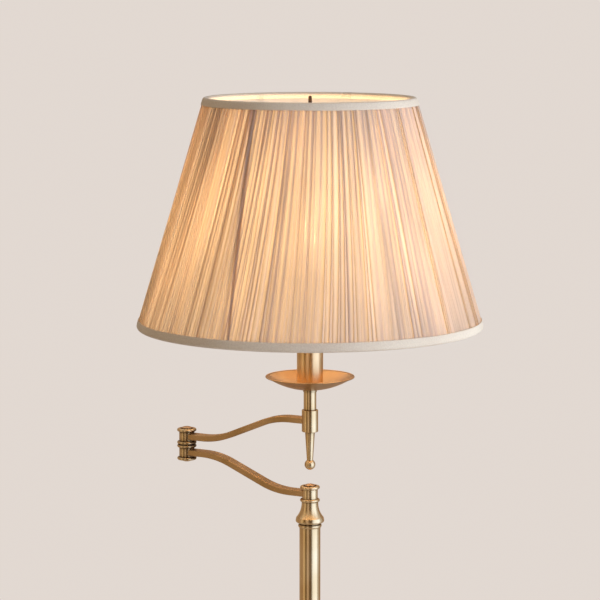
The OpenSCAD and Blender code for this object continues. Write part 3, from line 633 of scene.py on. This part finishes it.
def make_pleats():
    folds = plan_folds(random.Random(PLEAT_SEED))
    heights = [SLANT * j / (FOLD_ROWS - 1) for j in range(FOLD_ROWS)]
    rows = [fold_row(folds, up) for up in heights]
    vertices = [on_shade(angle, up, out) for row, up in zip(rows, heights) for angle, out in row]
    flat, total = flat_places(rows, heights)
    columns = len(flat)
    quads = grid(FOLD_ROWS, columns, closed=True)
    uvs = wrapped_uvs(quads, flat, total, heights)
    faces = [[j * columns + i for j, i in quad] for quad in quads]
    first = len(vertices)
    seam = [seam_row(row, up) for row, up in zip(rows, heights)]
    across = len(seam[0])
    vertices += [point for points in seam for point in points]
    for quad in grid(FOLD_ROWS, across, closed=False):
        faces.append([first + j * across + i for j, i in quad])
        uvs += [(SEAM_STEP * i, heights[j]) for j, i in quad]
    piece = new_piece("shade_pleats", vertices, faces, PLEATED_SILK, uvs)
    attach(piece, "lamp_head")
    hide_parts("shade_fabric")
    return piece, total


# ---- Lining ----

LINING_OUT = -0.0024
LINING_COLUMNS = 360
LINING_ROWS = 26
LINING_SEAMS = 6
SEAM_SHARPNESS = 60
LINING_SEAM_DEPTH = 0.0003
# Gathers at both edges: depth, pace round the shade and up it, and the heights where they end
GATHER_DEPTH = 0.0005
GATHER_PACE = 16
GATHER_RISE = 1.5
GATHERS_FROM = 0.55
GATHERS_BELOW = 0.25
LOWER_GATHERS = 0.4


def lining_out(angle, share):
    """Distance out of the lining at an angle and a share of the height."""
    upper = max(share - GATHERS_FROM, 0) / (1 - GATHERS_FROM)
    lower = LOWER_GATHERS * max(GATHERS_BELOW - share, 0) / GATHERS_BELOW
    gather = noise.noise(Vector((GATHER_PACE * math.cos(angle), GATHER_PACE * math.sin(angle),
                                 GATHER_RISE * share)))
    seam = math.cos(LINING_SEAMS * angle / 2 + math.pi / 2) ** SEAM_SHARPNESS
    return LINING_OUT - GATHER_DEPTH * (upper + lower) * abs(gather) - LINING_SEAM_DEPTH * seam


def make_lining():
    heights = [SLANT * j / (LINING_ROWS - 1) for j in range(LINING_ROWS)]
    angles = [TAU * i / LINING_COLUMNS for i in range(LINING_COLUMNS)]
    vertices = [on_shade(angle, up, lining_out(angle, up / SLANT))
                for up in heights for angle in angles]
    quads = grid(LINING_ROWS, LINING_COLUMNS, closed=True)
    around = TAU * BOTTOM_R
    flat = [around * i / LINING_COLUMNS for i in range(LINING_COLUMNS)]
    uvs = wrapped_uvs(quads, flat, around, heights)
    faces = [[j * LINING_COLUMNS + i for j, i in quad] for quad in quads]
    piece = new_piece("inner_lining", vertices, faces, LINING, uvs)
    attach(piece, "lamp_head")
    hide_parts("shade_lining")
    return piece


# ---- Tape that binds the shade's edges ----

# Outer face of the folded tape, from the leg outside the cloth round the ring to the leg inside,
# as distances in millimetres out from the frame and up from the edge's ring
TAPE_PATH = [(4.95, 7.3), (5.05, 6.6), (5.05, 4.2), (5.0, 1.6), (4.75, -0.2), (4.1, -1.5),
             (3.0, -2.35), (1.6, -2.75), (0, -2.8), (-1.5, -2.6), (-2.7, -1.9), (-3.35, -0.7),
             (-3.6, 1.0), (-3.6, 3.4)]
MM = 1 / 1000
TAPE_THICKNESS = 0.6
TAPE_COLUMNS = 300
TAPE_JOIN = math.radians(95)
# The tape's end laps over its start, rising as it comes to it
TAPE_LAP = 0.013
LAP_RISE = 0.0007
RISE_FROM = 0.6
RISE_LENGTH = 0.5
# From OUTSIDE_FROM millimetres out the leg puckers, and from EDGE_FROM up its edge strays
OUTSIDE_FROM = 3.5
EDGE_FROM = 5
TAPE_PUCKER = 0.00018
PUCKER_PACES = (260, 9, 0.5)
TAPE_STRAY = 0.0003
STRAY_PACES = (22, 7, 3.5)


def tape_section():
    """The folded tape's closed outline, in millimetres: its outer face, then its inner face back."""
    inner = []
    for i, point in enumerate(TAPE_PATH):
        before = TAPE_PATH[max(i - 1, 0)]
        after = TAPE_PATH[min(i + 1, len(TAPE_PATH) - 1)]
        run = Vector((after[0] - before[0], after[1] - before[1])).normalized()
        inner.append((point[0] + run.y * TAPE_THICKNESS, point[1] - run.x * TAPE_THICKNESS))
    return TAPE_PATH + inner[::-1]


def tape_vertices(section, ring_up, ring_r, inwards):
    """Points of every section along the tape, with the angle from one to the next."""
    lap = TAPE_LAP / ring_r
    step = (TAU + lap) / (TAPE_COLUMNS - 1)
    vertices = []
    for i in range(TAPE_COLUMNS):
        angle = step * i
        rise = LAP_RISE * smooth_step((angle - TAU + RISE_FROM * lap) / (RISE_LENGTH * lap))
        pucker = TAPE_PUCKER * wander(PUCKER_PACES, ring_r * angle, ring_up)
        stray = TAPE_STRAY * wander(STRAY_PACES, ring_r * angle, ring_up)
        for out, up in section:
            away = rise + pucker if out > OUTSIDE_FROM else 0
            reach = stray if up > EDGE_FROM else 0
            vertices.append(on_shade(TAPE_JOIN + angle, ring_up + inwards * (up * MM + reach),
                                     out * MM + away))
    return vertices, step


def tape_faces(section, spacing):
    """Faces and flat coordinates of the tape, with its two cut ends closed."""
    count = len(section)
    steps = [math.dist(a, b) * MM for a, b in zip(section, section[1:] + section[:1])]
    along = [0.0] + list(accumulate(steps))
    faces = []
    uvs = []
    for i in range(TAPE_COLUMNS - 1):
        for k in range(count):
            corners = [(i, k), (i, k + 1), (i + 1, k + 1), (i + 1, k)]
            faces.append([column * count + point % count for column, point in corners])
            uvs.append([(column * spacing, along[point]) for column, point in corners])
    last = (TAPE_COLUMNS - 1) * count
    for cap in (list(range(count)), [last + k for k in range(count - 1, -1, -1)]):
        faces.append(cap)
        uvs.append([(0.0, along[corner % count]) for corner in cap])
    return faces, uvs


def make_tape(name, node, ring_up, inwards):
    """Bias tape over one edge. ring_up is its ring's place up the side; inwards is 1 or -1."""
    section = tape_section()
    ring_r = BOTTOM_R - ring_up * math.sin(LEAN)
    vertices, step = tape_vertices(section, ring_up, ring_r, inwards)
    faces, corners = tape_faces(section, step * ring_r)
    if inwards < 0:
        faces = [face[::-1] for face in faces]
        corners = [face[::-1] for face in corners]
    uvs = [corner for face in corners for corner in face]
    piece = new_piece(name, vertices, faces, TAPE, uvs)
    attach(piece, "lamp_head")
    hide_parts(node)
    return piece


pleats, flat_width = make_pleats()
lining = make_lining()
bottom_tape = make_tape("bottom_binding", "bottom_trim", 0.0, 1)
top_tape = make_tape("top_binding", "top_trim", SLANT, -1)


# ---- Felt under the base ----

FELT_COLUMNS = 160
FELT_MIDDLE = 0.002
# Frayed rim: from this share of the radius out, this deep, at this pace round it and up it
FRAY_FROM = 0.9
FRAY_DEPTH = 0.0005
FRAY_PACE = 40
FRAY_RISE = 90


def make_felt():
    _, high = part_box("base_felt")
    radius, top = high.x, high.z
    # Radius and height along a half section, from the middle of the underside, round the worn
    # lower edge and the sharper upper one, to the middle of the top
    profile = [(FELT_MIDDLE, 0.0), (radius * 0.5, 0.0), (radius - 0.004, 0.0),
               (radius - 0.0012, 0.0002), (radius - 0.0002, 0.0009), (radius, top / 2),
               (radius - 0.0003, top - 0.0006), (radius - 0.001, top), (radius * 0.5, top),
               (FELT_MIDDLE, top)]
    vertices = []
    for r, z in profile:
        for i in range(FELT_COLUMNS):
            angle = TAU * i / FELT_COLUMNS
            fray = FRAY_DEPTH * noise.noise(Vector((FRAY_PACE * math.cos(angle),
                                                    FRAY_PACE * math.sin(angle), FRAY_RISE * z)))
            reach = r + (fray if r > radius * FRAY_FROM else 0)
            vertices.append((reach * math.cos(angle), reach * math.sin(angle), z))
    rings = len(profile)
    faces = [[j * FELT_COLUMNS + i for j, i in quad] for quad in grid(rings, FELT_COLUMNS, closed=True)]
    last = (rings - 1) * FELT_COLUMNS
    faces.append(list(range(FELT_COLUMNS - 1, -1, -1)))
    faces.append([last + i for i in range(FELT_COLUMNS)])
    piece = new_piece("felt_pad", vertices, faces, FELT)
    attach(piece, "stand")
    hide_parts("base_felt")


make_felt()


# ---- The lamp's own light: the bulb, and the glow of the shade's inside that the metal reflects ----

LAMP_POWER = 2.85
# The light's middle is this far under the middle of the bulb's round end, and its ball this much wider
LAMP_DROP = 0.012
LAMP_MARGIN = 0.001
SHADE_GLOW_POWER = 0.03
SHADE_GLOW_WIDTH = 0.3
SHADE_GLOW_COLOUR = (1.0, 0.54, 0.24)


def make_lamp_lights():
    low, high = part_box("bulb_glass")
    radius = (high.x - low.x) / 2
    bulb = bpy.data.lights.new("bulb_light", "POINT")
    bulb.energy = LAMP_POWER
    bulb.color = GLOW_COLOUR
    bulb.shadow_soft_size = radius + LAMP_MARGIN
    glow = bpy.data.lights.new("shade_glow", "AREA")
    glow.shape = "DISK"
    glow.size = SHADE_GLOW_WIDTH
    glow.energy = SHADE_GLOW_POWER
    glow.color = SHADE_GLOW_COLOUR
    for data, height in ((bulb, high.z - radius - LAMP_DROP), (glow, BOTTOM_Z)):
        light = add_object(data.name, data)
        light.location = (0, 0, height)
        light.visible_camera = False
        light.visible_glossy = data is glow
        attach(light, "lamp_head")
    NODES["bulb_filaments"].visible_glossy = False


make_lamp_lights()


# ---- Room: pale surroundings with a broad window on the right, dark flags between the lights ----

BACKGROUND = (0.76, 0.69, 0.64)
# Brightness and colour of the surroundings by compass angle in degrees, as the metal reflects them
SURROUNDINGS = [
    (-180, (0.40, 0.30, 0.20)),
    (-142, (0.38, 0.27, 0.18)),
    (-137, (0.74, 0.62, 0.44)),
    (-120, (0.70, 0.58, 0.40)),
    (-113, (0.13, 0.08, 0.02)),
    (-97, (0.13, 0.08, 0.02)),
    (-91, (0.68, 0.58, 0.50)),
    (-74, (0.62, 0.53, 0.46)),
    (-69, (0.09, 0.05, 0.01)),
    (-41, (0.12, 0.08, 0.04)),
    (-30, (1.25, 1.55, 2.10)),
    (22, (1.45, 1.85, 2.70)),
    (34, (0.60, 0.66, 0.78)),
    (58, (0.50, 0.50, 0.52)),
    (68, (0.32, 0.24, 0.17)),
    (124, (0.50, 0.33, 0.20)),
    (138, (0.42, 0.32, 0.22)),
]
# Above and below this steepness the bands give way to one colour
STEEPNESS = (0.4, 0.85)
OVERHEAD = (0.75, 0.72, 0.68)
UNDERNEATH = (0.45, 0.41, 0.37)
# Strength of the surroundings as light on dull surfaces, beside their strength in reflections
DIFFUSE_SHARE = 0.7


def make_world():
    world = bpy.data.worlds.new("studio")
    world.use_nodes = True
    bpy.context.scene.world = world
    tree = Tree(world.node_tree)
    direction = tree.add("SeparateXYZ", {0: tree.add("TexCoord").outputs["Generated"]}).outputs
    turn = tree.math("ARCTAN2", direction[1], direction[0])
    around = tree.remap(turn, -math.pi, math.pi)
    bands = tree.ramp(around, [((angle + 180) / 360, colour) for angle, colour in SURROUNDINGS])
    low, high = STEEPNESS
    studio = tree.mix(tree.remap(direction[2], low, high), bands, OVERHEAD)
    studio = tree.mix(tree.remap(direction[2], -low, -high), studio, UNDERNEATH)
    path = tree.add("LightPath").outputs
    plain = tree.math("ADD", path["Is Camera Ray"], path["Is Transmission Ray"], clamp=True)
    colour = tree.mix(plain, studio, BACKGROUND)
    strength = tree.remap(path["Is Diffuse Ray"], 0.0, 1.0, 1.0, DIFFUSE_SHARE)
    background = tree.add("Background", {"Color": colour, "Strength": strength}).outputs[0]
    tree.add("OutputWorld", {"Surface": background})


make_world()

FLOOR_RADIUS = 2.6
FLOOR_POINTS = 96
# The floor fades out between these distances from the lamp
FLOOR_SOLID = 0.9
FLOOR_FADED = 2.522


def make_floor():
    """A pale disc of floor that fades into the background, so that no edge shows."""
    material, tree = new_material("pale_floor")
    place = tree.place()
    surface = tree.add("BsdfPrincipled", {
        "Base Color": tree.mix(tree.noise(place, 3, 2), (0.76, 0.72, 0.68), (0.80, 0.76, 0.72)),
        "Roughness": 0.85,
    }).outputs[0]
    reach = tree.add("VectorMath", {0: place}, operation="LENGTH").outputs["Value"]
    fade = tree.remap(reach, FLOOR_SOLID, FLOOR_FADED)
    clear = tree.add("BsdfTransparent").outputs[0]
    finish_material(tree, tree.add("MixShader", {0: fade, 1: surface, 2: clear}).outputs[0])
    angles = [TAU * i / FLOOR_POINTS for i in range(FLOOR_POINTS)]
    ring = [(FLOOR_RADIUS * math.cos(angle), FLOOR_RADIUS * math.sin(angle), 0) for angle in angles]
    floor = new_piece("floor", ring, [list(range(FLOOR_POINTS))], material)
    floor.location.z = CAD_BOX[0].z
    floor.visible_glossy = False


make_floor()

SOFT_LIGHT_WIDTH = 1.4
SOFT_LIGHT_HEIGHT = 1.8
SOFT_LIGHT_AIM = Vector((0, 0, 1.2))


def make_soft_light(name, place, energy, colour):
    """A large soft light that faces the lamp and shows in no reflection."""
    data = bpy.data.lights.new(name, "AREA")
    data.shape = "RECTANGLE"
    data.size = SOFT_LIGHT_WIDTH
    data.size_y = SOFT_LIGHT_HEIGHT
    data.energy = energy
    data.color = colour
    light = add_object(name, data)
    light.location = place
    aim = SOFT_LIGHT_AIM - light.location
    light.rotation_euler = aim.to_track_quat("-Z", "Y").to_euler()
    light.visible_camera = False
    light.visible_glossy = False


make_soft_light("window_light", (3.0, -0.2, 1.4), 36, (0.90, 0.95, 1.0))
make_soft_light("side_light", (2.3, 1.7, 1.0), 22, (0.84, 0.96, 1.0))
